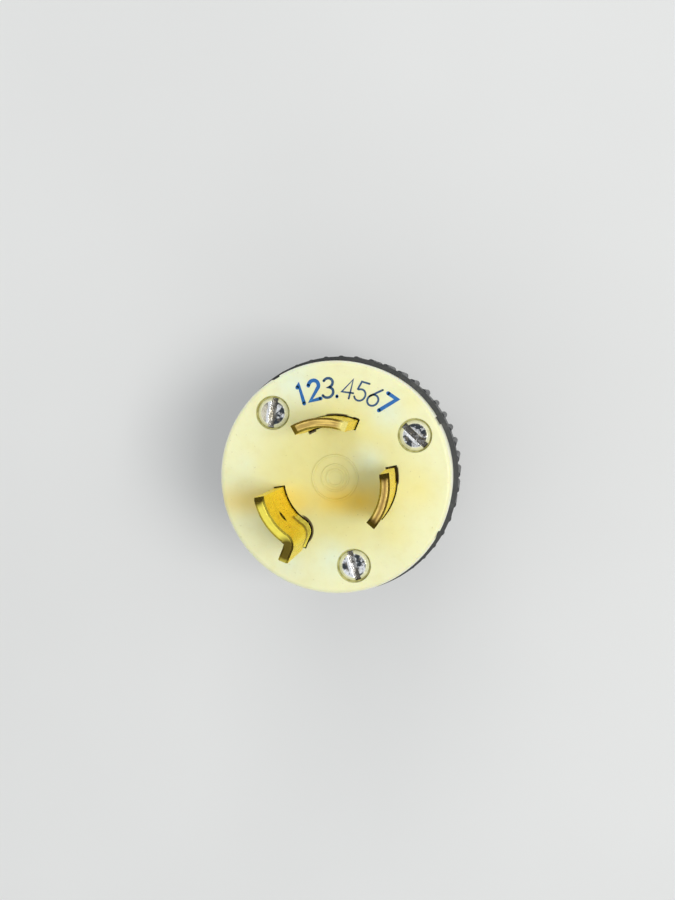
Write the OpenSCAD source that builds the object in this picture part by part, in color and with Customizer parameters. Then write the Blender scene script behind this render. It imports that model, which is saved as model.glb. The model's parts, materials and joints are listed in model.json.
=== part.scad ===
// Three-blade locking power plug, 15 A size, standing on its cord end.
// Millimetres. The plug's axis is Z: cord end at z = 0, blade tips at the top.
// Angles are measured about the axis, counter-clockwise seen from the blade side.

/* [Face] */
// Distance that the face's side stands in from the shell's
face_step = 0.5; // [0.2:0.1:1]
// Height of the face flange that stands above the shell
flange_h = 6.8; // [5.5:0.1:9]
// Thickness of the plate that the blades pass through
plate_t = 4.5; // [3.8:0.1:5]
// Rounding of the face's outer edge
face_edge_r = 0.8; // [0.3:0.1:1.5]
// Depth that the spigot behind the flange reaches into the shell
spigot_h = 3.7; // [3:0.1:5]
// Wall of the spigot
spigot_wall = 1.8; // [1.5:0.1:2]
// Angles of the small index notches in the rim
notch_angles = [29, 121, 331];
// Width of an index notch
notch_w = 1.4; // [0.8:0.1:2]
// Depth of an index notch
notch_depth = 0.25; // [0.1:0.05:0.4]
// Radii of the raised rings at the face's centre
ring_radii = [1.3, 2.1, 3.6];
// Width of a raised ring
ring_w = 0.3; // [0.2:0.05:0.5]
// Height of a raised ring
ring_h = 0.15; // [0.1:0.05:0.25]

/* [Blades] */
// Thickness of the blades
blade_t = 1.5; // [1.2:0.05:1.7]
// Radius of the circle that the blades' mid-thickness follows
blade_r = 9.2; // [8.8:0.1:9.6]
// Length of a line blade above the face
line_l = 15.2; // [12:0.1:18]
// Length of the ground blade above the face
ground_l = 17.9; // [15:0.1:22]
// Angle of the first line blade's middle
line_a_angle = 93.4; // [92:0.1:97]
// Angle of the second line blade's middle
line_b_angle = 345; // [342:0.1:348]
// Arc that a line blade covers
line_span = 51.5; // [48:0.5:56]
// Angle at which the ground blade's arc starts
ground_start = 190; // [188:0.5:193]
// Arc that the ground blade covers before it bends outwards
ground_span = 45; // [42:0.5:48]
// Inside radius of the ground blade's bend
bend_r = 0.6; // [0.4:0.1:0.8]
// Angle through which the ground blade's edge bends outwards
bend_angle = 77; // [70:1:85]
// Straight length of the ground blade's leg beyond its bend
leg_l = 2; // [1:0.1:2.4]
// Length of the bevel on a blade's corners
corner_bevel = 0.7; // [0.4:0.1:1.2]
// Bevel along a blade's tip
tip_bevel = 0.3; // [0.2:0.05:0.5]
// Height of the locking notch above the face
lock_h = 3.4; // [2.5:0.1:4.5]
// Width of the locking notch along the blade
lock_w = 2.2; // [1.5:0.1:2.8]
// Depth of the line blades' notch floor below the face
lock_sunk = 2.2; // [0.5:0.1:3]
// Height of the ground blade's notch floor above the face
lock_raised = 0.3; // [0.1:0.1:0.8]
// Diameter of the small hole through the ground blade
eye_d = 1.4; // [1:0.1:2]
// Height of that hole above the face
eye_z = 10.7; // [8:0.1:13]
// Angle of that hole
eye_angle = 217.5; // [205:0.5:225]

/* [Terminals] */
// Width of a blade's terminal tab
tab_w = 8; // [7:0.1:8.6]
// Height that a flat tab overlaps the curved blade above it
tab_lap = 1; // [0.6:0.1:1.4]
// Length of a blade's inward foot
foot_l = 3.2; // [2.6:0.1:3.6]
// Width of a blade's inward foot
foot_w = 6; // [4:0.1:7]
// Diameter of the terminal screws' shanks
terminal_screw_d = 2.9; // [2.5:0.1:3.2]
// Diameter of the terminal screws' heads
terminal_head_d = 6; // [5:0.1:6.4]
// Height of the terminal screws' heads
terminal_head_h = 2; // [1.6:0.1:2.4]
// Length of a terminal screw under its head
terminal_screw_l = 5.2; // [4.6:0.1:5.6]
// Thickness of a pressure plate
pressure_t = 1.2; // [0.8:0.1:1.4]
// Side of a square pressure plate
pressure_w = 7.2; // [6.6:0.1:7.6]

/* [Carrier] */
// Thickness of the carrier's flange
carrier_flange_t = 2.8; // [2:0.1:3.2]
// Length of the carrier's screw posts below its flange
post_l = 8; // [7:0.1:9]
// Radius of the carrier's hub
hub_r = 4.2; // [3:0.1:4.4]
// Thickness of the walls between the terminals
wing_t = 1.6; // [1.2:0.1:2]
// Angles of the walls between the terminals
wing_angles = [40, 154, 282];

/* [Assembly screws] */
// Angles of the three assembly screws
screw_angles = [134, 28, 282];
// Directions of the screwdriver slots, in the same order
driver_angles = [80, -43.5, -73];
// Distance of the screws' axes in from the shell's bore
screw_inset = 2.8; // [2.7:0.1:3.1]
// Radius of the posts that the screws pass through
post_r = 2.5; // [2.2:0.05:2.5]
// Diameter of the screws' shanks
screw_d = 3; // [2.6:0.1:3.1]
// Diameter of the screws' heads
head_d = 4.9; // [4:0.1:5]
// Height of the screws' heads
head_h = 1.8; // [1.4:0.1:2.2]
// Depth of a head's top below the face
head_sunk = 0.15; // [0:0.05:0.4]
// Width of a screwdriver slot
driver_w = 0.95; // [0.6:0.05:1.1]
// Depth of a screwdriver slot
driver_depth = 1.1; // [0.6:0.05:1.2]
// Diameter of the counterbore round a head
counterbore_d = 5.5; // [5.2:0.1:6]
// Outer diameter of the threaded inserts
insert_d = 4.4; // [4.2:0.1:4.8]
// Length of the threaded inserts
insert_l = 6; // [4:0.1:7]
// Distance from a screw's tip to the far end of its insert
tip_margin = 0.5; // [0.3:0.1:1]

/* [Shell] */
// Diameter of the shell's body between its ribs
shell_d = 38.6; // [38.4:0.1:39]
// Wall of the shell
shell_wall = 2; // [1.8:0.05:2.1]
// Length of the shell from its shoulder to its mouth
shell_l = 28; // [26:0.5:34]
// Radius of the rounded shoulder
shoulder_r = 7; // [5:0.5:8]
// Thickness of the shell's end wall
end_t = 2.8; // [2:0.1:3.5]
// Number of grip ribs
rib_count = 48; // [36:4:60]
// Radius of a grip rib
rib_r = 0.6; // [0.4:0.05:0.7]
// Plain height left at both ends of the ribs
rib_margin = 0.5; // [0.3:0.1:1.5]
// Height of the smooth band at the mouth
band_h = 1.6; // [1:0.1:2.5]
// Height that this band stands proud
band_proud = 0.35; // [0.2:0.05:0.6]
// Radius of the bosses that hold the inserts
boss_r = 3.2; // [3:0.1:3.4]
// Length of the shell's neck
neck_l = 5.7; // [5:0.1:7]
// Wall of the neck
neck_wall = 2.3; // [1.8:0.1:2.6]
// Diameter of the cord entry through the neck
cord_d = 15; // [13:0.1:15.4]
// Height of the flange at the neck's end
neck_flange_h = 2; // [1.5:0.1:2.5]
// Height that this flange stands proud of the neck
neck_flange_proud = 1.6; // [1.2:0.1:2]

/* [Cord clamp] */
// Height of the clamp jaws
jaw_h = 15; // [14:0.1:17]
// Width of the clamp across its screws
jaw_w = 32; // [31:0.5:34]
// Depth of the closed clamp
jaw_depth = 28; // [27:0.5:30]
// Radius of the clamp's upright corners
jaw_corner_r = 8; // [5:0.5:9]
// Gap between the two jaws
jaw_split = 2; // [1:0.1:3]
// Diameter of the jaws' cord seat
seat_d = 16; // [15.8:0.1:16.2]
// Number of gripping ridges in the cord seat
ridge_count = 3; // [2:1:3]
// Height that a ridge stands proud
ridge_h = 0.3; // [0.1:0.05:0.35]
// Distance between the clamp screws
clamp_spacing = 23.2; // [22.8:0.1:23.6]
// Height of the clamp screws above the cord end
clamp_screw_z = 4.8; // [4.4:0.1:5.2]
// Diameter of the clamp screws' shanks
clamp_screw_d = 3; // [2.5:0.1:3.1]
// Diameter of the clamp screws' heads
clamp_head_d = 5.6; // [5:0.1:5.8]
// Height of the clamp screws' heads
clamp_head_h = 2; // [1.6:0.1:2.4]
// Width of the clamp nuts across their flats
nut_af = 5.5; // [5:0.1:5.6]
// Thickness of the clamp nuts
nut_t = 2.4; // [1.8:0.1:2.6]
// Depth of the pockets that hold the clamp's heads and nuts
clamp_pocket = 3.6; // [3.2:0.1:4]

/* [Fits] */
// Clearance round a blade in the face
blade_gap = 0.18; // [0.1:0.02:0.25]
// Clearance where one moulding slides into another
mould_gap = 0.15; // [0.1:0.05:0.25]
// Clearance round the neck inside the clamp
neck_gap = 0.25; // [0.15:0.05:0.35]
// Clearance round a shank that turns in its thread
thread_gap = 0.05; // [0.03:0.01:0.1]
// Clearance round a shank that passes freely
free_gap = 0.15; // [0.1:0.05:0.25]
// Clearance above a terminal screw's head
head_gap = 0.65; // [0.4:0.05:1]

/* [Hidden] */
$fn = 96;

// How far a cutting solid runs past what it cuts
cut = 1;

// Levels along the axis, from the cord end up
neck_top_z = jaw_h + mould_gap;
neck_z = neck_top_z - neck_l;
mouth_z = neck_top_z + shell_l;
face_z = mouth_z + flange_h;
plate_z = face_z - plate_t;
spigot_z = mouth_z - spigot_h;
disc_z = plate_z - mould_gap;
flange_top_z = spigot_z - mould_gap;
flange_z = flange_top_z - carrier_flange_t;
post_z = flange_z - post_l;
hub_z = post_z + wing_t / 2;
boss_z = post_z - mould_gap;
head_z = face_z - head_sunk - head_h;
screw_tip_z = boss_z - insert_l + tip_margin;

// Radii shared by the shell and what fits inside it
shell_r = shell_d / 2;
inner_r = shell_r - shell_wall;
face_r = shell_r - face_step;
screw_r = inner_r - screw_inset;
spigot_r = inner_r - mould_gap;
cavity_r = spigot_r - spigot_wall;
disc_r = cavity_r - mould_gap;
carrier_r = inner_r - mould_gap;
screw_hole_r = screw_d / 2 + free_gap;

// A blade's two broad faces, and the arc that its locking notch takes
blade_in = blade_r - blade_t / 2;
blade_out = blade_r + blade_t / 2;
lock_angle = lock_w / blade_r * 180 / PI;

// A terminal's depths, measured outwards from the axis
tab_x = blade_in;
plate_x = tab_x + blade_t + thread_gap;
terminal_head_x = plate_x + pressure_t;
terminal_z = flange_z - terminal_head_d / 2 - head_gap;
tab_z = terminal_z - tab_w / 2;
foot_z = disc_z - blade_t - thread_gap;
window_w = tab_w + blade_t;
ground_tab_angle = ground_start + ground_span / 2;

// The ground blade's bend and leg; the bend's outside meets both faces just short of tangent
bend_out = bend_r + blade_t;
bend_centre_r = blade_r + bend_r + blade_t / 2;
bend_at = ground_start + ground_span;
leg_angle = bend_at + 90 - bend_angle;
near_tangent = bend_r / 20;

// The neck and the clamp
neck_r = cord_d / 2 + neck_wall;
neck_flange_r = neck_r + neck_flange_proud;
shoulder_flat_r = shell_r - shoulder_r;
seat_z = neck_z - neck_gap;
ridge_pitch = seat_z / ridge_count;
pocket_d = clamp_head_d + 4 * free_gap;
clamp_seat_y = jaw_depth / 2 - clamp_pocket;
nut_r = nut_af / 2 / cos(30);

function polar(r, a) = [r * cos(a), r * sin(a)];

// Copies of the children at each of the given angles, a radius out from the axis
module around(angles, r) {
    for (a = angles) rotate(a) translate([r, 0, 0]) children();
}

// A tube from z up to z + h
module tube(outer, inner, z, h) {
    translate([0, 0, z]) difference() {
        cylinder(r = outer, h = h);
        translate([0, 0, -cut]) cylinder(r = inner, h = h + 2 * cut);
    }
}

// The sector of a ring between two radii, from angle a on through span (under 90 degrees)
module ring_sector(r0, r1, a, span) {
    reach = 2 * r1;
    difference() {
        circle(r1);
        circle(r0);
        rotate(a) translate([-reach, -2 * reach]) square([2 * reach, 2 * reach]);
        rotate(a + span) translate([-reach, 0]) square([2 * reach, 2 * reach]);
    }
}

// The plan of a line blade about the angle a, widened all round by grow
module line_plan(a, grow = 0) {
    ends = grow / blade_r * 180 / PI;
    ring_sector(blade_in - grow, blade_out + grow, a - line_span / 2 - ends, line_span + 2 * ends);
}

// The plan of the ground blade: an arc, and a leg that a round bend turns outwards
module ground_plan(grow = 0) {
    ends = grow / blade_r * 180 / PI;
    bend_centre = polar(bend_centre_r, bend_at);
    difference() {
        union() {
            ring_sector(blade_in - grow, blade_out + grow, ground_start - ends, leg_angle - ground_start + ends);
            translate(bend_centre) rotate(leg_angle - 90)
                translate([-bend_out - grow, -bend_out]) square([blade_t + 2 * grow, bend_out + leg_l + grow]);
        }
        translate(bend_centre)
            ring_sector(bend_out + near_tangent + grow, 2 * bend_out, leg_angle + 90, bend_angle);
    }
}

// The section of a cut that bevels an upper edge at the origin; side is 1 if the metal lies towards +X
module bevel_section(side) {
    reach = tip_bevel + cut;
    polygon([[-side * cut, cut], [side * reach, cut], [-side * cut, -reach]]);
}

// That cut along the edge of a face bent to radius r, from angle a on through span
module edge_bevel(r, side, a, span, tip_z) {
    rotate(a) rotate_extrude(angle = span) translate([r, tip_z]) bevel_section(side);
}

// A cut that bevels the upper corner of a strip's end; side is 1 for the end that it faces
module corner_cut(a, side, tip_z) {
    reach = 2 * corner_bevel;
    rotate(a) translate([blade_r, 0, tip_z]) rotate([side * 45, 0, 0])
        translate([-reach, -reach, -corner_bevel / sqrt(2)])
            cube([2 * reach, 2 * reach, reach + cut]);
}

// The inward foot, the flat tab and its tapped hole, with +X as the terminal's direction
module terminal_end(grip_x) {
    difference() {
        union() {
            translate([tab_x - foot_l, -foot_w / 2, foot_z]) cube([foot_l + grip_x, foot_w, blade_t]);
            translate([tab_x, -tab_w / 2, tab_z]) cube([blade_t, tab_w, flange_z - tab_z + tab_lap]);
        }
        translate([0, 0, terminal_z]) rotate([0, 90, 0])
            cylinder(d = terminal_screw_d + 2 * thread_gap, h = plate_x + cut);
    }
}

module line_blade(a) {
    start = a - line_span / 2;
    end = a + line_span / 2;
    tip_z = face_z + line_l;
    difference() {
        union() {
            translate([0, 0, flange_z]) linear_extrude(tip_z - flange_z) line_plan(a);
            rotate(a) terminal_end(blade_t / 2);
        }
        edge_bevel(blade_in, 1, start - cut, line_span + 2 * cut, tip_z);
        edge_bevel(blade_out, -1, start - cut, line_span + 2 * cut, tip_z);
        corner_cut(start, 1, tip_z);
        corner_cut(end, -1, tip_z);
        rotate(end - lock_angle) rotate_extrude(angle = 2 * lock_angle)
            translate([blade_in - cut, face_z - lock_sunk]) square([blade_t + 2 * cut, lock_h + lock_sunk]);
    }
}

module line_blade_a() {
    color("goldenrod") line_blade(line_a_angle);
}

module line_blade_b() {
    color("goldenrod") line_blade(line_b_angle);
}

module ground_blade() {
    tip_z = face_z + ground_l;
    floor_z = face_z + lock_raised;
    color("gold") difference() {
        union() {
            translate([0, 0, foot_z]) linear_extrude(tip_z - foot_z) ground_plan();
            translate([0, 0, flange_z]) linear_extrude(foot_z - flange_z + blade_t)
                ring_sector(blade_in, blade_out, ground_start, ground_span);
            rotate(ground_tab_angle) terminal_end(blade_t / 2);
        }
        edge_bevel(blade_in, 1, ground_start - cut, ground_span + 2 * cut, tip_z);
        edge_bevel(blade_out, -1, ground_start - cut, ground_span + cut, tip_z);
        translate(polar(bend_centre_r, bend_at)) {
            edge_bevel(bend_out + near_tangent, -1, leg_angle + 90, bend_angle, tip_z);
            rotate(leg_angle - 90) translate([0, leg_l + cut, tip_z]) rotate([90, 0, 0])
                linear_extrude(leg_l + cut) {
                    translate([-bend_out, 0]) bevel_section(1);
                    translate([-bend_r, 0]) bevel_section(-1);
                }
        }
        corner_cut(ground_start, 1, tip_z);
        rotate(bend_at - 3 * lock_angle / 4) rotate_extrude(angle = 3 * lock_angle)
            translate([blade_in - cut, floor_z]) square([2 * bend_centre_r - blade_in, lock_h]);
        rotate(eye_angle) translate([0, 0, face_z + eye_z]) rotate([0, 90, 0])
            cylinder(d = eye_d, h = blade_out + cut);
    }
}

// A square plate that clamps a wire under the screw's head, with a groove each side of the screw
module pressure_plate(a) {
    groove_y = (pressure_w + terminal_screw_d) / 4;
    rotate(a) translate([plate_x, 0, terminal_z]) difference() {
        translate([0, -pressure_w / 2, -pressure_w / 2]) cube([pressure_t, pressure_w, pressure_w]);
        translate([-cut, 0, 0]) rotate([0, 90, 0])
            cylinder(d = terminal_screw_d + 2 * free_gap, h = pressure_t + 2 * cut);
        for (side = [-1, 1]) translate([0, side * groove_y, -pressure_w / 2 - cut])
            cylinder(r = pressure_t / 3, h = pressure_w + 2 * cut);
    }
}

module pressure_plate_a() {
    color("darkgoldenrod") pressure_plate(line_a_angle);
}

module pressure_plate_b() {
    color("darkgoldenrod") pressure_plate(line_b_angle);
}

module pressure_plate_ground() {
    color("darkgoldenrod") pressure_plate(ground_tab_angle);
}

// A slotted screw along +Z: its head's underside at z = 0, its shank below
module slotted_screw(shank_d, shank_l, head_dia, head_high, slot_w, slot_depth, slot_angle = 0) {
    dome = head_high / 4;
    difference() {
        union() {
            translate([0, 0, -shank_l]) cylinder(d = shank_d, h = shank_l + cut / 2);
            cylinder(d = head_dia, h = head_high - dome);
            translate([0, 0, head_high - dome]) cylinder(d1 = head_dia, d2 = head_dia - 2 * dome, h = dome);
        }
        rotate(slot_angle) translate([-head_dia, -slot_w / 2, head_high - slot_depth])
            cube([2 * head_dia, slot_w, slot_depth + cut]);
    }
}

module terminal_screw(a) {
    rotate(a) translate([terminal_head_x, 0, terminal_z]) rotate([0, 90, 0])
        slotted_screw(terminal_screw_d, terminal_screw_l, terminal_head_d, terminal_head_h,
            driver_w, driver_depth);
}

module terminal_screw_a() {
    color("gainsboro") terminal_screw(line_a_angle);
}

module terminal_screw_b() {
    color("gainsboro") terminal_screw(line_b_angle);
}

module terminal_screw_ground() {
    color("seagreen") terminal_screw(ground_tab_angle);
}

module face_body() {
    color("lemonchiffon") difference() {
        union() {
            difference() {
                rotate_extrude() union() {
                    translate([0, spigot_z]) square([spigot_r, face_z - spigot_z]);
                    translate([0, mouth_z]) square([face_r, flange_h - face_edge_r]);
                    translate([0, mouth_z]) square([face_r - face_edge_r, flange_h]);
                    translate([face_r - face_edge_r, face_z - face_edge_r]) circle(face_edge_r);
                }
                difference() {
                    translate([0, 0, spigot_z - cut]) cylinder(r = cavity_r, h = plate_z - spigot_z + cut);
                    around(screw_angles, screw_r) translate([0, 0, spigot_z - 2 * cut])
                        cylinder(r = post_r, h = face_z);
                }
            }
            for (r = ring_radii) tube(r + ring_w / 2, r - ring_w / 2, face_z - ring_h, 2 * ring_h);
        }
        for (a = [line_a_angle, line_b_angle]) translate([0, 0, plate_z - cut])
            linear_extrude(plate_t + 2 * cut) line_plan(a, blade_gap);
        translate([0, 0, plate_z - cut]) linear_extrude(plate_t + 2 * cut) ground_plan(blade_gap);
        around(screw_angles, screw_r) {
            translate([0, 0, spigot_z - cut]) cylinder(r = screw_hole_r, h = face_z);
            translate([0, 0, head_z]) cylinder(d = counterbore_d, h = face_z);
        }
        around(notch_angles, face_r) translate([-notch_depth, -notch_w / 2, mouth_z - cut])
            cube([face_r, notch_w, flange_h + 2 * cut]);
    }
}

module terminal_carrier() {
    wing_r = carrier_r - wing_t / 2;
    color("ivory") difference() {
        union() {
            difference() {
                translate([0, 0, hub_z]) rotate_extrude() union() {
                    square([hub_r, disc_z - hub_z]);
                    translate([0, flange_z - hub_z + cut]) square([disc_r, disc_z - flange_z - cut]);
                }
                around(screw_angles, screw_r) translate([0, 0, flange_z])
                    cylinder(r = post_r + mould_gap, h = face_z);
            }
            translate([0, 0, flange_z]) cylinder(r = carrier_r, h = carrier_flange_t);
            around(screw_angles, screw_r) translate([0, 0, post_z])
                cylinder(r = post_r, h = post_l + cut);
            for (a = wing_angles) rotate(a) translate([hub_r - wing_t, -wing_t / 2, post_z])
                cube([wing_r - hub_r + wing_t, wing_t, post_l + cut]);
        }
        around(screw_angles, screw_r) translate([0, 0, post_z - cut])
            cylinder(r = screw_hole_r, h = face_z);
        for (a = [line_a_angle, line_b_angle, ground_tab_angle]) rotate(a) terminal_window();
        translate([0, 0, foot_z]) linear_extrude(disc_z) ground_plan(blade_gap);
    }
}

// The opening that a terminal passes through, and the pocket that its foot lies in
module terminal_window() {
    half_span = line_span / 2;
    inner_x = blade_in * cos(half_span) - blade_gap;
    outer_x = blade_out + blade_gap;
    translate([inner_x, -window_w / 2, flange_z - cut])
        cube([outer_x - inner_x, window_w, disc_z - flange_z + 2 * cut]);
    translate([tab_x - foot_l - blade_gap, -foot_w / 2 - blade_gap, foot_z])
        cube([foot_l, foot_w + 2 * blade_gap, disc_z]);
}

module assembly_screws() {
    color("silver") for (i = [0 : len(screw_angles) - 1])
        translate(concat(polar(screw_r, screw_angles[i]), head_z))
            slotted_screw(screw_d, head_z - screw_tip_z, head_d, head_h,
                driver_w, driver_depth, driver_angles[i]);
}

module threaded_inserts() {
    color("darkkhaki") around(screw_angles, screw_r)
        tube(insert_d / 2, screw_d / 2 + thread_gap, boss_z - insert_l, insert_l);
}

// The solid outline of the shell above its neck
module shell_outline() {
    rotate_extrude() union() {
        translate([0, neck_top_z]) square([shoulder_flat_r, shell_l]);
        translate([0, neck_top_z + shoulder_r]) square([shell_r, shell_l - shoulder_r]);
        translate([shoulder_flat_r, neck_top_z + shoulder_r]) circle(shoulder_r);
    }
}

// The space inside the shell, rounded at its floor as the shoulder is
module shell_cavity() {
    floor_z = neck_top_z + end_t;
    round_r = shoulder_r - shell_wall;
    rotate_extrude() union() {
        translate([0, floor_z]) square([inner_r - round_r, shell_l]);
        translate([0, floor_z + round_r]) square([inner_r, shell_l]);
        translate([inner_r - round_r, floor_z + round_r]) circle(round_r);
    }
}

module back_shell() {
    rib_z = neck_top_z + shoulder_r + rib_margin;
    rib_h = mouth_z - band_h - rib_margin - rib_z;
    color("dimgray") difference() {
        union() {
            difference() {
                shell_outline();
                difference() {
                    shell_cavity();
                    around(screw_angles, screw_r) translate([0, 0, neck_top_z])
                        cylinder(r = boss_r, h = boss_z - neck_top_z);
                }
            }
            tube(shell_r + band_proud, inner_r + shell_wall / 2, mouth_z - band_h, band_h);
            translate([0, 0, rib_z]) for (i = [0 : rib_count - 1]) rotate(i * 360 / rib_count)
                translate([shell_r, 0, 0]) cylinder(r = rib_r, h = rib_h);
            translate([0, 0, neck_z]) cylinder(r = neck_r, h = neck_l + cut);
            translate([0, 0, neck_z]) cylinder(r = neck_flange_r, h = neck_flange_h);
        }
        translate([0, 0, neck_z - cut]) cylinder(d = cord_d, h = neck_l + end_t + 2 * cut);
        around(screw_angles, screw_r) translate([0, 0, boss_z - insert_l])
            cylinder(d = insert_d + 2 * thread_gap, h = insert_l + cut);
        translate([0, 0, mouth_z]) cylinder(r = shell_d, h = cut);
        translate([0, 0, spigot_z]) cylinder(r = inner_r, h = shell_l);
    }
}

// An upright block with round corners
module rounded_block(w, d, r, h) {
    linear_extrude(h) union() {
        square([w - 2 * r, d], center = true);
        square([w, d - 2 * r], center = true);
        for (x = [-1, 1], y = [-1, 1]) translate([x * (w / 2 - r), y * (d / 2 - r)]) circle(r);
    }
}

// One half of the cord clamp; side is 1 or -1 along Y
module clamp_jaw(side) {
    difference() {
        rounded_block(jaw_w, jaw_depth, jaw_corner_r, jaw_h);
        translate([-jaw_w, side > 0 ? -jaw_depth : -jaw_split / 2, -cut])
            cube([2 * jaw_w, jaw_depth + jaw_split / 2, jaw_h + 2 * cut]);
        translate([0, 0, -cut]) cylinder(d = seat_d - 2 * ridge_h, h = jaw_h);
        for (i = [0 : ridge_count - 1]) translate([0, 0, i * ridge_pitch - ridge_pitch / 4])
            cylinder(d = seat_d, h = ridge_pitch / 2);
        translate([0, 0, seat_z]) cylinder(r = neck_flange_r + neck_gap, h = neck_flange_h + 2 * neck_gap);
        translate([0, 0, seat_z]) cylinder(r = neck_r + neck_gap, h = jaw_h);
        for (x = [-1, 1]) translate([x * clamp_spacing / 2, 0, clamp_screw_z]) rotate([-90, 0, 0])
            clamp_holes(side);
    }
}

// A clamp screw's hole with its pocket: round for the head, hexagonal for the nut
module clamp_holes(side) {
    translate([0, 0, -jaw_depth]) cylinder(r = clamp_screw_d / 2 + free_gap, h = 2 * jaw_depth);
    if (side > 0) {
        translate([0, 0, clamp_seat_y]) cylinder(d = pocket_d, h = jaw_depth);
    } else {
        translate([0, 0, -clamp_seat_y - jaw_depth]) rotate(30) cylinder(r = nut_r + free_gap, h = jaw_depth, $fn = 6);
    }
}

module clamp_jaw_front() {
    color("dimgray") clamp_jaw(-1);
}

module clamp_jaw_back() {
    color("dimgray") clamp_jaw(1);
}

module clamp_screws() {
    shank_l = 2 * clamp_seat_y + nut_t;
    color("silver") for (x = [-1, 1])
        translate([x * clamp_spacing / 2, clamp_seat_y, clamp_screw_z]) rotate([-90, 0, 0])
            slotted_screw(clamp_screw_d, shank_l, clamp_head_d, clamp_head_h, driver_w, driver_depth);
}

module clamp_nuts() {
    color("silver") for (x = [-1, 1])
        translate([x * clamp_spacing / 2, -clamp_seat_y, clamp_screw_z]) rotate([90, 0, 0]) difference() {
            rotate(30) cylinder(r = nut_r, h = nut_t, $fn = 6);
            translate([0, 0, -cut]) cylinder(d = clamp_screw_d + 2 * thread_gap, h = nut_t + 2 * cut);
        }
}

back_shell();
face_body();
terminal_carrier();
line_blade_a();
line_blade_b();
ground_blade();
pressure_plate_a();
pressure_plate_b();
pressure_plate_ground();
terminal_screw_a();
terminal_screw_b();
terminal_screw_ground();
assembly_screws();
threaded_inserts();
clamp_jaw_front();
clamp_jaw_back();
clamp_screws();
clamp_nuts();
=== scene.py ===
"""Looks of the locking power plug: part finishes, printed numerals, floor, lights and camera."""

import json
import math

import bmesh
import bpy
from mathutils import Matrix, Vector


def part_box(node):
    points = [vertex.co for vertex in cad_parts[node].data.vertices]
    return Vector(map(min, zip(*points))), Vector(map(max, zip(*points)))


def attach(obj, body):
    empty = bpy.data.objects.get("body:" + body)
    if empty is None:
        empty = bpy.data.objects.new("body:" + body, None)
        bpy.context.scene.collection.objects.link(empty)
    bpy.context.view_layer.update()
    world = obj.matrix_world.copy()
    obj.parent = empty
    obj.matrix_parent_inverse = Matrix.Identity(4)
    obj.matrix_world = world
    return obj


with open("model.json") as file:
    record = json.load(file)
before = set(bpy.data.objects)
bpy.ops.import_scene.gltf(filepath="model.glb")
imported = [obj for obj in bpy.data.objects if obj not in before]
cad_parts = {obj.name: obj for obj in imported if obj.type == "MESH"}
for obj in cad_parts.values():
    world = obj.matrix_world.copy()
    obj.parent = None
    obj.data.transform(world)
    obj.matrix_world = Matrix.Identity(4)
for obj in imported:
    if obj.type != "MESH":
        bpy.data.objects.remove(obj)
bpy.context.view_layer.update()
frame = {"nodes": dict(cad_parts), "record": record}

MM = 0.001
FACE_LO, FACE_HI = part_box("face_body")
SCREW_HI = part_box("assembly_screws")[1]
FACE_R = (FACE_HI.x - FACE_LO.x) / 2
RING_HEIGHT = 0.15 * MM
FACE_Z = FACE_HI.z - RING_HEIGHT

# The three assembly screws: place on the face in millimetres, and angle of the slot
SCREWS = ((-10.07, 10.43, 80.0), (12.80, 6.81, 136.5), (3.01, -14.18, 107.0))
HEAD_R, BORE_R = 2.45, 2.75
# The ground blade's hole and the upper edge of its locking notch, above the face, where shade is painted
EYE_ANGLE, EYE_Z, LIP_Z = 217.5, 10.7, 3.75
# Painted shade where the slots show wider and dark beside the blades: centre, radius, first and last
# angle, half width
GAP_SHADE_ARCS = ((0.0, 0.0, 10.08, 77.0, 99.0, 0.30), (0.0, 0.0, 10.05, 67.0, 73.0, 0.26),
             (0.0, 0.0, 8.25, 111.0, 121.0, 0.30), (0.0, 0.0, 9.95, -6.0, 11.0, 0.42),
             (0.0, 0.0, 9.95, -33.0, -12.0, 0.24), (-6.2, -8.6, 2.42, -50.0, 76.0, 0.36))
# Patches of the face that are cooler or yellower: place and radius in millimetres, and amount; the first
# cool patch, left of the right blade's upper end, is a painted highlight
COOL_PATCHES_AND_GLEAM = ((5.4, 2.8, 6.0, 0.8), (-0.5, -13.0, 6.5, 0.8), (-6.5, 15.5, 8.0, 0.8),
                (8.5, 10.5, 6.0, 0.8), (-14.5, 2.0, 4.0, 0.35), (-7.5, -14.0, 5.0, 0.6))
YELLOW_PATCHES = ((13.5, -1.5, 7.5, 0.85), (9.5, -9.5, 6.5, 0.7), (12.0, 12.0, 5.0, 0.5))
# Dark spots on the blades' tips, given in the same way
DARK_TIP_SPOTS = ((-4.5, 8.0, 1.2, 0.7), (9.0, 1.75, 1.7, 1.0), (7.0, -6.0, 1.9, 1.0),
               (-9.3, -1.7, 1.7, 1.0), (-4.9, -9.3, 2.5, 1.0))
# A painted highlight on the upper blade's end: place and radius in millimetres
END_HIGHLIGHT_SPOT = (3.7, 8.5, 1.9)

# The camera: the plug's axis and the face's middle as it sees them, its lens and sensor, in millimetres
AXIS_IN_VIEW = (-0.121, -0.049, 1.0)
FACE_IN_VIEW = (-0.405, -4.456, -177.9)
FOCAL_LENGTH, SENSOR_WIDTH = 44.32, 36.0


# ---------------------------------------------------------------- materials

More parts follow.
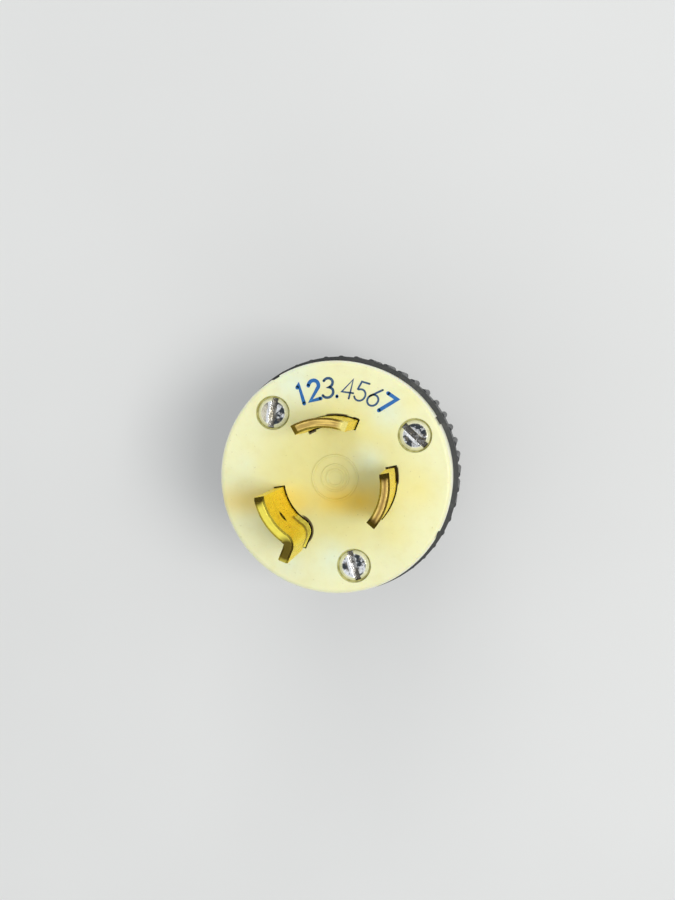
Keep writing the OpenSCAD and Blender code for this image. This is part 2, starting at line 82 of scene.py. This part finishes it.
class Graph:
    """A material's node tree, with short calls for the nodes used here."""

    def __init__(self, name):
        self.material = bpy.data.materials.new(name)
        self.material.use_nodes = True
        self.nodes = self.material.node_tree.nodes
        self.links = self.material.node_tree.links
        self.shader = self.nodes["Principled BSDF"]
        self.place = self.nodes.new("ShaderNodeTexCoord").outputs["Object"]

    def feed(self, socket, value):
        """Links an output to a socket, or sets the socket's own value."""
        if isinstance(value, bpy.types.NodeSocket):
            self.links.new(value, socket)
        else:
            socket.default_value = value

    def node(self, kind, settings=(), **inputs):
        made = self.nodes.new(kind)
        for name, value in dict(settings).items():
            setattr(made, name, value)
        for name, value in inputs.items():
            self.feed(made.inputs[name.replace("_", " ")], value)
        return made

    def maths(self, operation, a, b=0.0):
        made = self.nodes.new("ShaderNodeMath")
        made.operation = operation
        for socket, value in zip(made.inputs, (a, b)):
            self.feed(socket, value)
        return made.outputs[0]

    def times(self, a, b):
        return self.maths("MULTIPLY", a, b)

    def plus(self, a, b):
        return self.maths("ADD", a, b)

    def minus(self, a, b):
        return self.maths("SUBTRACT", a, b)

    def capped(self, value, gain, most):
        """A value times a gain, but never more than a highest value."""
        return self.maths("MINIMUM", self.times(value, gain), most)

    def length(self, a, b):
        """The length of a flat vector from its two parts."""
        return self.maths("SQRT", self.plus(self.times(a, a), self.times(b, b)))

    def stretched(self, scale):
        """The object's coordinates, multiplied along each axis."""
        made = self.nodes.new("ShaderNodeVectorMath")
        made.operation = "MULTIPLY"
        self.feed(made.inputs[0], self.place)
        made.inputs[1].default_value = scale
        return made.outputs[0]

    def noise(self, scale, detail=3.0, stretch=None, rough=0.5):
        vector = self.stretched(stretch) if stretch else self.place
        return self.node("ShaderNodeTexNoise", Vector=vector, Scale=scale, Detail=detail,
                         Roughness=rough).outputs["Fac"]

    def remap(self, value, low, high, to_low=0.0, to_high=1.0):
        """Maps low..high to to_low..to_high, smoothly and clamped."""
        made = self.node("ShaderNodeMapRange", {"interpolation_type": "SMOOTHSTEP"}, Value=value)
        ends = {"From Min": low, "From Max": high, "To Min": to_low, "To Max": to_high}
        for name, number in ends.items():
            made.inputs[name].default_value = number
        return made.outputs[0]

    def mix(self, amount, a, b):
        made = self.nodes.new("ShaderNodeMix")
        made.data_type = "RGBA"
        self.feed(made.inputs["Factor"], amount)
        self.feed(made.inputs["A"], a)
        self.feed(made.inputs["B"], b)
        return made.outputs["Result"]

    def axes(self):
        return self.node("ShaderNodeSeparateXYZ", Vector=self.place).outputs

    def normal_z(self):
        """1 on a face that looks up, 0 on an upright one."""
        normal = self.nodes.new("ShaderNodeNewGeometry").outputs["Normal"]
        return self.node("ShaderNodeSeparateXYZ", Vector=normal).outputs["Z"]

    def facing_out(self, away):
        """1 on a face that looks away from the plug's axis, -1 on one that looks at it."""
        normal = self.nodes.new("ShaderNodeNewGeometry").outputs["Normal"]
        facing = self.node("ShaderNodeVectorMath", {"operation": "DOT_PRODUCT"})
        self.feed(facing.inputs[0], normal)
        self.feed(facing.inputs[1], self.stretched((1.0, 1.0, 0.0)))
        return self.maths("DIVIDE", facing.outputs["Value"], away)

    def band(self, value, middle, half):
        """1 at the middle of a band, falling smoothly to 0 at half its width away."""
        return self.remap(self.maths("ABSOLUTE", self.minus(value, middle)), 0.0, half, 1.0, 0.0)

    def reach(self, x, y):
        """Distance across the face from a point given in millimetres."""
        ax = self.axes()
        return self.length(self.minus(ax["X"], x * MM), self.minus(ax["Y"], y * MM))

    def aside(self, x, y, angle):
        """Signed distance across the face from a line through a point, at an angle in degrees."""
        ax, turn = self.axes(), math.radians(angle)
        return self.plus(self.times(self.minus(ax["X"], x * MM), -math.sin(turn)),
                         self.times(self.minus(ax["Y"], y * MM), math.cos(turn)))

    def spot(self, x, y, radius, blur=0.0):
        """1 at a point of the face, falling smoothly to 0 at the radius, in millimetres."""
        return self.remap(self.plus(self.reach(x, y), blur), 0.0, radius * MM, 1.0, 0.0)

    def along_arc(self, x, y, radius, start, end, half):
        """1 on an arc round a point of the face, falling to 0 half a width away and past its ends."""
        ax = self.axes()
        angle = self.maths("ARCTAN2", self.minus(ax["Y"], y * MM), self.minus(ax["X"], x * MM))
        middle, half_turn = math.radians((start + end) / 2), math.radians((end - start) / 2)
        turned = self.maths("ABSOLUTE", self.minus(angle, middle))
        within = self.remap(turned, 0.75 * half_turn, 1.05 * half_turn, 1.0, 0.0)
        off = self.maths("ABSOLUTE", self.minus(self.reach(x, y), radius * MM))
        return self.times(within, self.remap(off, 0.6 * half * MM, half * MM, 1.0, 0.0))

    def relief(self, height, distance, strength=1.0, edge=0.0):
        """Bumps of a height in metres, over edges that look rounded to the given radius."""
        made = self.node("ShaderNodeBump", Height=height)
        made.inputs["Distance"].default_value = distance
        made.inputs["Strength"].default_value = strength
        if edge:
            rounded = self.nodes.new("ShaderNodeBevel")
            rounded.samples = 6
            rounded.inputs["Radius"].default_value = edge
            self.links.new(rounded.outputs["Normal"], made.inputs["Normal"])
        self.links.new(made.outputs["Normal"], self.shader.inputs["Normal"])

    def done(self, colour, roughness, metallic=0.0, ior=1.5):
        self.feed(self.shader.inputs["Base Color"], colour)
        self.feed(self.shader.inputs["Roughness"], roughness)
        self.shader.inputs["Metallic"].default_value = metallic
        self.shader.inputs["IOR"].default_value = ior
        return self.material


def cream_tones_and_highlights(g, away, drift):
    """Cream nylon that is paler at the rim, with cooler and yellower patches, one of them a painted
    highlight, and a painted highlight along the rim's edge.
    """
    cream, pale = (0.80, 0.75, 0.33, 1.0), (0.86, 0.85, 0.51, 1.0)
    cool_tone_and_gleam, yellow = (0.76, 0.87, 0.72, 1.0), (0.87, 0.79, 0.31, 1.0)
    # A painted highlight along the face's rounded rim edge
    rim_highlight = (0.93, 0.93, 0.80, 1.0)
    uneven = g.times(drift, 3.0 * MM)
    colour = g.mix(g.remap(g.plus(away, uneven), 9.0 * MM, 18.5 * MM), cream, pale)
    # The cool tone also paints a highlight on the face left of the right blade
    for patches, tone in ((COOL_PATCHES_AND_GLEAM, cool_tone_and_gleam), (YELLOW_PATCHES, yellow)):
        for x, y, radius, amount in patches:
            colour = g.mix(g.times(g.spot(x, y, radius, uneven), amount), colour, tone)
    return g.mix(g.remap(away, FACE_R - 0.45 * MM, FACE_R - 0.1 * MM, 0.0, 0.6), colour, rim_highlight)


def amber_stain_and_shade(g, drift):
    """How strongly the amber band shows: below the middle, and deepest beside the right blade, where it
    is painted shade and brass-coloured reflection as well as stain.
    """
    ax = g.axes()
    across = g.band(g.plus(ax["Y"], g.times(drift, 2.0 * MM)), -2.6 * MM, 3.6 * MM)
    deep = g.times(across, g.band(ax["X"], 2.6 * MM, 7.5 * MM))
    faint = g.times(across, g.band(ax["X"], -11.0 * MM, 14.0 * MM))
    # This amount covers both the stain and the painted shade and brass reflection
    stain = g.plus(g.times(deep, 0.85), g.times(faint, 0.60))
    return g.capped(stain, g.remap(drift, 0.2, 0.7, 0.65, 1.15), 0.92)


def ivory_nylon():
    """Aged cream nylon: an amber band below the middle that is partly stain and partly painted shade,
    fine dirt, and painted shade in the slots and beside the blades.
    """
    g = Graph("ivory_nylon")
    away = g.reach(0.0, 0.0)
    drift = g.noise(110.0, 4.0, rough=0.55)
    colour = cream_tones_and_highlights(g, away, drift)
    # The amber band: partly stain, partly painted shade and brass-coloured reflection beside the right
    # blade
    colour = g.mix(amber_stain_and_shade(g, drift), colour, (0.93, 0.63, 0.035, 1.0))
    mottle = g.remap(g.noise(520.0, 5.0, rough=0.6), 0.4, 0.8, 0.0, 0.20)
    colour = g.mix(mottle, colour, (0.70, 0.60, 0.20, 1.0))
    specks = g.remap(g.noise(2100.0, 2.0), 0.70, 0.76, 0.0, 0.30)
    colour = g.mix(specks, colour, (0.30, 0.22, 0.06, 1.0))
    # Painted shade: the slot walls below the face, and arcs beside the blades, are darkened
    dark = (0.055, 0.028, 0.006, 1.0)
    sunk = g.minus(FACE_Z, g.axes()["Z"])
    among_blades = g.remap(away, 12.3 * MM, 12.6 * MM, 1.0, 0.0)
    slot_shade = g.times(g.remap(sunk, 0.15 * MM, 0.9 * MM), among_blades)
    colour = g.mix(g.times(slot_shade, 0.95), colour, dark)
    for gap in GAP_SHADE_ARCS:
        colour = g.mix(g.times(g.along_arc(*gap), 0.95), colour, dark)
    scratches = g.remap(g.noise(1.0, 4.0, stretch=(240.0, 2600.0, 600.0), rough=0.7), 0.62, 0.72)
    grain = g.plus(g.times(g.noise(5200.0, 2.0), 0.5), g.times(scratches, -0.5))
    g.relief(grain, 0.03 * MM, 0.5, edge=0.12 * MM)
    g.shader.inputs["Subsurface Weight"].default_value = 0.2
    g.shader.inputs["Subsurface Radius"].default_value = (1.0, 0.7, 0.2)
    g.shader.inputs["Subsurface Scale"].default_value = 0.8 * MM
    return g.done(colour, g.remap(g.noise(900.0, 4.0), 0.3, 0.7, 0.32, 0.50), ior=1.53)


def black_nylon():
    """Black glass-filled nylon with a fine grain and paler scuffed patches here and there."""
    g = Graph("black_nylon")
    scuff = g.remap(g.noise(260.0, 6.0, rough=0.7), 0.50, 0.78)
    colour = g.mix(g.times(scuff, 0.6), (0.028, 0.029, 0.029, 1.0), (0.13, 0.13, 0.12, 1.0))
    g.relief(g.noise(4200.0, 3.0), 0.03 * MM, 0.6, edge=0.12 * MM)
    return g.done(colour, g.remap(g.noise(800.0, 4.0), 0.3, 0.7, 0.34, 0.55), ior=1.53)


def inner_nylon():
    """Plain unstained nylon of the carrier inside."""
    g = Graph("inner_nylon")
    tone = g.remap(g.noise(300.0, 4.0), 0.3, 0.7)
    colour = g.mix(tone, (0.66, 0.62, 0.42, 1.0), (0.74, 0.70, 0.50, 1.0))
    g.relief(g.noise(3800.0, 3.0), 0.03 * MM, 0.4)
    return g.done(colour, g.remap(g.noise(700.0, 3.0), 0.3, 0.7, 0.45, 0.6))


def drawn_brass(g, streaks):
    """The metal itself: streaks along the blades, tarnished here and there."""
    colour = g.mix(g.times(streaks, 0.7), (0.97, 0.83, 0.115, 1.0), (0.88, 0.67, 0.06, 1.0))
    tarnish = g.remap(g.noise(420.0, 6.0, rough=0.65), 0.45, 0.72)
    return g.mix(g.times(tarnish, 0.45), colour, (0.48, 0.28, 0.03, 1.0))


def round_streaks(g, away):
    """Streaks that run round the plug's axis, as the sheared tips show."""
    ax = g.axes()
    round_axis = g.node("ShaderNodeCombineXYZ", X=g.times(away, 3400.0),
                        Y=g.times(g.maths("ARCTAN2", ax["Y"], ax["X"]), 2.5)).outputs[0]
    return g.node("ShaderNodeTexNoise", Vector=round_axis, Scale=1.0, Detail=3.0).outputs["Fac"]


def sheared_tips(g, colour, top, lines, away, on_ground):
    """Tan tips with brown streaks, browner on the line blades and along the right one's middle."""
    on_lines = g.minus(1.0, on_ground)
    tan = g.mix(on_ground, (0.90, 0.64, 0.20, 1.0), (1.0, 0.87, 0.13, 1.0))
    colour = g.mix(g.times(top, 0.88), colour, tan)
    on_right_blade = g.remap(g.reach(9.2, 0.0), 5.0 * MM, 7.0 * MM, 1.0, 0.0)
    middle = g.times(g.band(away, 9.2 * MM, 0.42 * MM), on_right_blade)
    brown = g.times(g.remap(lines, 0.46, 0.60), g.plus(g.times(on_lines, 0.45), 0.12))
    brown = g.maths("MAXIMUM", brown, g.times(middle, 0.85))
    return g.mix(g.times(brown, top), colour, (0.26, 0.14, 0.04, 1.0))


def bevels_with_painted_shade(g, colour, up, away, on_ground):
    """Bevels round the tips, darker on the line blades, with painted shade where they look outwards."""
    # Painted shade on the bevels that look outwards
    outer = g.remap(g.facing_out(away), 0.10, 0.50)
    amount = g.plus(g.times(outer, 0.28), g.times(g.minus(1.0, on_ground), 0.55))
    dark = g.mix(on_ground, (0.20, 0.095, 0.022, 1.0), (0.12, 0.080, 0.008, 1.0))
    return g.mix(g.times(g.band(up, 0.70, 0.26), amount), colour, dark)


def hole_and_notch_shade(g, above_face, on_ground):
    """Painted shade on the ground blade: how dark it is round its hole and on the lip over its locking
    notch.
    """
    from_eye = g.length(g.aside(0.0, 0.0, EYE_ANGLE), g.minus(above_face, EYE_Z * MM))
    eye = g.times(g.remap(from_eye, 0.80 * MM, 1.15 * MM, 0.9, 0.0), on_ground)
    lip = g.times(g.remap(above_face, (LIP_Z - 0.5) * MM, (LIP_Z - 0.1) * MM),
                  g.remap(above_face, (LIP_Z + 1.2) * MM, (LIP_Z + 2.4) * MM, 0.95, 0.0))
    near_notch = g.remap(g.reach(-4.9, -8.0), 2.3 * MM, 2.8 * MM, 1.0, 0.0)
    return g.maths("MAXIMUM", eye, g.times(lip, near_notch))


def darkened_tips(g, colour, looks_up, above_face):
    """Dark spots on the blades' ends."""
    at_tip = g.remap(above_face, 8.0 * MM, 10.0 * MM)
    for x, y, radius, amount in DARK_TIP_SPOTS:
        darkening = g.times(g.times(g.spot(x, y, radius), looks_up), at_tip)
        darkening = g.capped(darkening, 1.8 * amount, 0.92 * amount)
        colour = g.mix(darkening, colour, (0.075, 0.043, 0.007, 1.0))
    return colour


def brass():
    """Stamped brass: drawn streaks, brown with dark spots on the sheared tips, brighter on the ground
    blade, with painted shade in the hole, on the notch's lip, on outward bevels and in the slots, and a
    painted highlight on one end.
    """
    g = Graph("brass")
    up, away = g.normal_z(), g.reach(0.0, 0.0)
    above_face = g.minus(g.axes()["Z"], FACE_Z)
    on_ground = g.remap(g.reach(-7.0, -6.0), 7.5 * MM, 9.0 * MM, 1.0, 0.0)
    top, looks_up = g.remap(up, 0.90, 0.99), g.remap(up, 0.4, 0.6)
    streaks = g.noise(1.0, 5.0, stretch=(2200.0, 2200.0, 170.0), rough=0.65)
    lines = round_streaks(g, away)
    colour = drawn_brass(g, streaks)
    colour = sheared_tips(g, colour, top, lines, away, on_ground)
    colour = bevels_with_painted_shade(g, colour, up, away, on_ground)
    # Painted highlight on the upper blade's end, pale and not metallic
    end_highlight = g.capped(g.times(g.spot(*END_HIGHLIGHT_SPOT), looks_up), 1.6, 0.85)
    colour = g.mix(end_highlight, colour, (0.98, 0.86, 0.27, 1.0))
    # Painted shade round the ground blade's hole and under the lip of its notch
    colour = g.mix(hole_and_notch_shade(g, above_face, on_ground), colour, (0.11, 0.06, 0.010, 1.0))
    colour = darkened_tips(g, colour, looks_up, above_face)
    # Painted shade on the brass below the face, down in the slots
    sunk_shade = g.remap(above_face, -0.5 * MM, -0.05 * MM, 0.9, 0.0)
    colour = g.mix(sunk_shade, colour, (0.05, 0.030, 0.006, 1.0))
    rough = g.plus(g.remap(streaks, 0.3, 0.7, 0.18, 0.32), g.times(top, 0.14))
    height = g.plus(g.plus(streaks, g.times(lines, top)), g.times(g.noise(1100.0, 5.0), 1.2))
    g.relief(height, 0.03 * MM, 0.6, edge=0.08 * MM)
    g.shader.inputs["Specular Tint"].default_value = (0.98, 0.88, 0.42, 1.0)
    material = g.done(colour, rough)
    g.feed(g.shader.inputs["Metallic"], g.minus(1.0, end_highlight))
    return material


def plated_steel(name="plated_steel", bright=(0.66, 0.69, 0.70, 1.0), dull=(0.36, 0.385, 0.40, 1.0)):
    """Zinc-plated steel: cloudy plating with turning marks, stained here and there."""
    g = Graph(name)
    cloud = g.remap(g.noise(700.0, 5.0, rough=0.6), 0.3, 0.7)
    colour = g.mix(cloud, bright, dull)
    stain = g.remap(g.noise(150.0, 3.0), 0.52, 0.66)
    colour = g.mix(g.times(stain, 0.55), colour, (0.33, 0.24, 0.15, 1.0))
    grime = g.remap(g.noise(1900.0, 3.0), 0.60, 0.70)
    colour = g.mix(g.times(grime, 0.6), colour, (0.10, 0.09, 0.075, 1.0))
    marks = g.noise(1.0, 4.0, stretch=(4200.0, 1300.0, 3000.0))
    g.relief(g.plus(marks, g.times(g.noise(900.0, 4.0), 1.5)), 0.03 * MM, 0.6, edge=0.10 * MM)
    return g.done(colour, g.remap(cloud, 0.0, 1.0, 0.16, 0.34), metallic=1.0)


def screw_wear_and_painted_light():
    """The assembly screws: blotched plating, a painted reflection on the shoulders, worn slot edges with
    a painted highlight, dirt in the slots, one screw half beige.
    """
    g = Graph("screw_wear_and_painted_light")
    blotch = g.noise(720.0, 4.0, rough=0.6)
    colour = g.mix(g.remap(blotch, 0.43, 0.51), (0.96, 0.97, 0.98, 1.0), (0.055, 0.065, 0.075, 1.0))
    warm = g.remap(g.noise(1500.0, 3.0), 0.50, 0.66)
    colour = g.mix(g.times(warm, 0.4), colour, (0.36, 0.30, 0.22, 1.0))
    beige = g.spot(SCREWS[0][0] - 1.5, SCREWS[0][1], 2.8, g.times(blotch, 0.8 * MM))
    colour = g.mix(g.capped(beige, 1.8, 0.9), colour, (0.86, 0.79, 0.60, 1.0))
    depth = g.minus(SCREW_HI.z, g.axes()["Z"])
    dirt = g.remap(g.plus(depth, g.times(blotch, 0.5 * MM)), 0.6 * MM, 1.2 * MM)
    ring, worn_edge_and_glint = 0.0, 0.0
    for x, y, slot in SCREWS:
        from_middle = g.reach(x, y)
        beside = g.plus(g.aside(x, y, slot), g.times(g.plus(blotch, -0.5), 0.5 * MM))
        on_head = g.remap(from_middle, 1.8 * MM, 2.2 * MM, 1.0, 0.0)
        # Bands beside each slot: driver wear together with a painted highlight
        worn_edge_and_glint = g.plus(worn_edge_and_glint, g.times(on_head, g.band(beside, 0.72 * MM, 0.42 * MM)))
        # Painted reflection of the ivory wall on each head's shoulder ring, pale and not metallic
        shoulder = g.remap(from_middle, (HEAD_R - 0.65) * MM, (HEAD_R - 0.45) * MM)
        near = g.remap(from_middle, (HEAD_R + 0.2) * MM, (HEAD_R + 0.3) * MM, 1.0, 0.0)
        ring = g.plus(ring, g.times(shoulder, near))
    colour = g.mix(g.capped(worn_edge_and_glint, 1.6, 0.95), colour, (0.98, 0.99, 1.0, 1.0))
    colour = g.mix(g.times(dirt, 0.65), colour, (0.16, 0.145, 0.12, 1.0))
    ring = g.times(ring, g.remap(depth, 0.6 * MM, 0.9 * MM, 0.9, 0.0))
    colour = g.mix(ring, colour, (0.86, 0.85, 0.60, 1.0))
    marks = g.noise(1.0, 3.0, stretch=(1700.0, 900.0, 1500.0))
    g.relief(g.plus(marks, g.times(g.noise(2600.0, 3.0), 0.25)), 0.08 * MM, 0.8, edge=0.20 * MM)
    material = g.done(colour, g.remap(blotch, 0.35, 0.65, 0.16, 0.30))
    g.feed(g.shader.inputs["Metallic"], g.minus(1.0, ring))
    return material


def counterbore_shade_fill():
    """Olive colour of the counterbore's shaded ivory wall, painted shade on a fill in the thin gaps round
    the screw heads.
    """
    g = Graph("counterbore_shade_fill")
    tone = g.remap(g.noise(1200.0, 4.0), 0.35, 0.65)
    g.relief(g.noise(2600.0, 4.0), 0.05 * MM, 0.7)
    colour = g.mix(tone, (0.56, 0.53, 0.22, 1.0), (0.34, 0.32, 0.10, 1.0))
    return g.done(colour, g.remap(tone, 0.0, 1.0, 0.7, 0.9))


def ink(name, fresh, thin):
    """Stamped ink, a little worn."""
    g = Graph(name)
    worn = g.remap(g.noise(1500.0, 5.0, rough=0.7), 0.50, 0.75)
    g.relief(g.noise(3000.0, 2.0), 0.01 * MM, 0.4)
    return g.done(g.mix(worn, fresh, thin), g.remap(worn, 0.0, 1.0, 0.42, 0.6))


def pale_floor():
    """Plain pale floor, very faintly uneven in tone."""
    g = Graph("pale_floor")
    tone = g.remap(g.noise(9.0, 3.0), 0.3, 0.7)
    colour = g.mix(tone, (0.73, 0.725, 0.705, 1.0), (0.76, 0.755, 0.735, 1.0))
    return g.done(colour, g.remap(tone, 0.0, 1.0, 0.7, 0.8))


def dress_frame():
    """Gives each CAD node the finish of its record's slot."""
    finishes = {
        "ivory_nylon": ivory_nylon(),
        "black_nylon": black_nylon(),
        "inner_nylon": inner_nylon(),
        "brass": brass(),
        "plated_steel": plated_steel(),
        "green_steel": plated_steel("green_steel", (0.10, 0.36, 0.17, 1.0), (0.05, 0.20, 0.10, 1.0)),
    }
    for part in frame["record"]["subparts"]:
        mesh = frame["nodes"][part["node"]].data
        mesh.materials.clear()
        mesh.materials.append(finishes[part["material_slot"]])
    screws = frame["nodes"]["assembly_screws"].data
    screws.materials[0] = screw_wear_and_painted_light()


def add_piece(name, mesh, material):
    """Makes a detail of the face from a bmesh."""
    data = bpy.data.meshes.new(name)
    mesh.to_mesh(data)
    mesh.free()
    data.materials.append(material)
    piece = bpy.data.objects.new(name, data)
    bpy.context.scene.collection.objects.link(piece)
    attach(piece, "root")


# ---------------------------------------------------------------- printed numerals

def arc(cx, cy, rx, ry, start, end, count=14):
    """Points of an elliptical arc, angles in degrees."""
    angles = (math.radians(start + (end - start) * i / (count - 1)) for i in range(count))
    return [(cx + rx * math.cos(a), cy + ry * math.sin(a)) for a in angles]


# Strokes in a cell 0.62 wide and 1 high
CELL_MIDDLE = 0.31
STROKES = {
    "1": [[(0.20, 0.90), (0.31, 1.0), (0.31, 0.0)]],
    "2": [arc(0.31, 0.72, 0.27, 0.28, 165, -25) + [(0.04, 0.0), (0.60, 0.0)]],
    "3": [arc(0.29, 0.76, 0.25, 0.24, 150, -90) + arc(0.29, 0.27, 0.29, 0.27, 88, -150)[1:]],
    "4": [[(0.46, 0.0), (0.46, 1.0), (0.02, 0.30), (0.62, 0.30)]],
    "5": [[(0.54, 1.0), (0.13, 1.0), (0.08, 0.58)] + arc(0.29, 0.31, 0.28, 0.31, 125, -150)],
    "6": [[(0.48, 1.0)] + arc(0.31, 0.30, 0.27, 0.30, 155, 515, 26)],
    "7": [[(0.04, 1.0), (0.60, 1.0), (0.24, 0.0)]],
    ".": [[(0.31, 0.03), (0.31, 0.07)]],
}

# Each glyph with its angle on the face and the width of its stroke in millimetres
HEAVY_STROKE = 0.45
GLYPHS = (("1", 112.5, 0.62), ("2", 104.0, 0.60), ("3", 94.8, 0.42), (".", 88.5, 0.50),
          ("4", 82.0, 0.30), ("5", 73.2, 0.30), ("6", 64.2, 0.32), ("7", 55.8, 0.62))


def ribbon(path, width):
    """The two sides of a stroke of one width along a path of points."""
    left, right = [], []
    for i, point in enumerate(path):
        ahead = (path[i + 1] - point).normalized() if i + 1 < len(path) else None
        behind = (point - path[i - 1]).normalized() if i else ahead
        ahead = ahead or behind
        along = (ahead + behind).normalized()
        side = Vector((-along.y, along.x)) * (width / 2 / max(0.6, along.dot(ahead)))
        left.append(point + side)
        right.append(point - side)
    return left, right


def add_outline(mesh, outline, z0, z1):
    """Adds a flat plate with the given outline, counter-clockwise, from z0 up to z1."""
    low = [mesh.verts.new((p.x, p.y, z0)) for p in outline]
    high = [mesh.verts.new((p.x, p.y, z1)) for p in outline]
    mesh.faces.new(high)
    mesh.faces.new(low[::-1])
    for i in range(len(outline)):
        j = (i + 1) % len(outline)
        mesh.faces.new((low[i], low[j], high[j], high[i]))


def add_stroke(mesh, path, width, z0, z1):
    """Adds a stroke as short plates, with a round plate at each end."""
    path = [Vector(p) for p in path]
    left, right = ribbon(path, width)
    for i in range(len(path) - 1):
        add_outline(mesh, (left[i], right[i], right[i + 1], left[i + 1]), z0, z1)
    for end in (path[0], path[-1]):
        disc = [end + Vector((math.cos(a), math.sin(a))) * (width / 2)
                for a in (math.tau * k / 16 for k in range(16))]
        add_outline(mesh, disc, z0, z1)


def print_glyph(mesh, glyph, angle, width):
    """Adds one numeral, upright along the radius at its angle and leaning a little."""
    height, base_r, lean = 3.1 * MM, 12.9 * MM, 0.10
    sunk, proud = 0.01 * MM, 0.02 * MM
    turn = math.radians(angle)
    outwards = Vector((math.cos(turn), math.sin(turn)))
    across = Vector((outwards.y, -outwards.x))
    for stroke in STROKES[glyph]:
        path = [outwards * (base_r + y * height) + across * ((x - CELL_MIDDLE + lean * y) * height)
                for x, y in stroke]
        add_stroke(mesh, path, width * MM, FACE_Z - sunk, FACE_Z + proud)


def printed_numerals():
    """Plain numerals on an arc above the blades: bold ones in blue, thin ones in navy."""
    blue = ink("blue_ink", (0.003, 0.120, 0.40, 1.0), (0.04, 0.28, 0.58, 1.0))
    navy = ink("navy_ink", (0.018, 0.070, 0.17, 1.0), (0.08, 0.18, 0.28, 1.0))
    for name, material, heavy in (("bold_numerals", blue, True), ("thin_numerals", navy, False)):
        mesh = bmesh.new()
        for glyph, angle, width in GLYPHS:
            if (width > HEAVY_STROKE) == heavy:
                print_glyph(mesh, glyph, angle, width)
        add_piece(name, mesh, material)


# ---------------------------------------------------------------- painted shade round the screws

def counterbore_shade_rings():
    """A hollowed ring in the gap round each screw head, level with the head's shoulder, coloured as
    painted shade of the counterbore wall.
    """
    clearance, count = 0.02, 64
    inner, outer = (HEAD_R + clearance) * MM, (BORE_R - clearance) * MM
    high, low = SCREW_HI.z - 0.42 * MM, SCREW_HI.z - 0.70 * MM
    dip = 0.08 * MM
    profile = ((inner, low), (outer, low), (outer, high),
               ((inner + outer) / 2, high - dip), (inner, high - dip / 2))
    mesh = bmesh.new()
    for x, y, _ in SCREWS:
        loops = []
        for k in range(count):
            a = math.tau * k / count
            loops.append([mesh.verts.new((x * MM + r * math.cos(a), y * MM + r * math.sin(a), z))
                          for r, z in profile])
        for k in range(count):
            here, ahead = loops[k], loops[(k + 1) % count]
            for i in range(len(profile)):
                j = (i + 1) % len(profile)
                mesh.faces.new((here[i], ahead[i], ahead[j], here[j]))
    bmesh.ops.recalc_face_normals(mesh, faces=mesh.faces)
    add_piece("screw_counterbore_shade", mesh, counterbore_shade_fill())


# ---------------------------------------------------------------- floor, lights, camera

def floor():
    """A plain floor, two metres wide, under the plug."""
    bpy.ops.mesh.primitive_plane_add(size=2.0, location=(0, 0, 0))
    plane = bpy.context.object
    plane.name = "floor"
    plane.data.materials.append(pale_floor())


def area_light(name, place, size, power, colour=(1.0, 1.0, 1.0)):
    """A square soft light that faces the plug."""
    target = Vector((0, 0, 0.04))
    data = bpy.data.lights.new(name, "AREA")
    data.size = size
    data.energy = power
    data.color = colour
    lamp = bpy.data.objects.new(name, data)
    bpy.context.scene.collection.objects.link(lamp)
    lamp.location = place
    lamp.rotation_mode = "QUATERNION"
    lamp.rotation_quaternion = (target - lamp.location).to_track_quat("-Z", "Y")


def room():
    """Surroundings: a bright ceiling, greyer walls, and a dim patch where the camera is held."""
    world = bpy.data.worlds.new("room")
    bpy.context.scene.world = world
    world.use_nodes = True
    nodes, links = world.node_tree.nodes, world.node_tree.links
    place = nodes.new("ShaderNodeTexCoord").outputs["Generated"]

    def ramp(direction, low, high):
        """0 to 1 as the view turns towards a direction, from one cosine to another."""
        facing = nodes.new("ShaderNodeVectorMath")
        facing.operation = "DOT_PRODUCT"
        links.new(place, facing.inputs[0])
        facing.inputs[1].default_value = Vector(direction).normalized()
        made = nodes.new("ShaderNodeMapRange")
        made.interpolation_type = "SMOOTHSTEP"
        made.inputs["From Min"].default_value = low
        made.inputs["From Max"].default_value = high
        links.new(facing.outputs["Value"], made.inputs["Value"])
        return made.outputs[0]

    def blend(amount, a, b):
        made = nodes.new("ShaderNodeMix")
        made.data_type = "RGBA"
        links.new(amount, made.inputs["Factor"])
        for name, value in (("A", a), ("B", b)):
            if isinstance(value, bpy.types.NodeSocket):
                links.new(value, made.inputs[name])
            else:
                made.inputs[name].default_value = value
        return made.outputs["Result"]

    walls, ceiling = (0.46, 0.48, 0.50, 1.0), (0.94, 0.97, 1.0, 1.0)
    dim, backdrop = (0.10, 0.10, 0.10, 1.0), (0.92, 0.92, 0.91, 1.0)
    tone = blend(ramp((0, 0, 1), 0.1, 0.9), walls, ceiling)
    tone = blend(ramp((0.12, 0.07, 0.99), 0.955, 0.998), tone, dim)
    tone = blend(nodes.new("ShaderNodeLightPath").outputs["Is Camera Ray"], tone, backdrop)
    links.new(tone, nodes["Background"].inputs["Color"])
    nodes["Background"].inputs["Strength"].default_value = 0.80


def lights():
    """A soft window high on the right, and a weak light far behind the plug."""
    area_light("window", (0.32, -0.03, 0.75), 0.24, 2.5)
    area_light("far_light", (-0.05, 0.75, 0.55), 0.50, 1.1)


def camera():
    """A phone's lens close above the face, a little to the right of the plug's axis."""
    axis = Vector(AXIS_IN_VIEW).normalized()
    to_plug = Vector((0, 0, 1)).rotation_difference(axis).inverted()
    data = bpy.data.cameras.new("camera")
    data.sensor_fit = "AUTO"
    data.sensor_width = SENSOR_WIDTH
    data.lens = FOCAL_LENGTH
    data.clip_start = 0.01
    made = bpy.data.objects.new("camera", data)
    bpy.context.scene.collection.objects.link(made)
    made.rotation_mode = "QUATERNION"
    made.rotation_quaternion = to_plug
    made.location = Vector((0, 0, FACE_Z)) - to_plug @ (Vector(FACE_IN_VIEW) * MM)
    bpy.context.scene.camera = made


def main():
    """Builds the camera, the finishes, the details and the surroundings."""
    bpy.context.scene.view_settings.view_transform = "Standard"
    camera()
    dress_frame()
    printed_numerals()
    counterbore_shade_rings()
    floor()
    room()
    lights()


main()
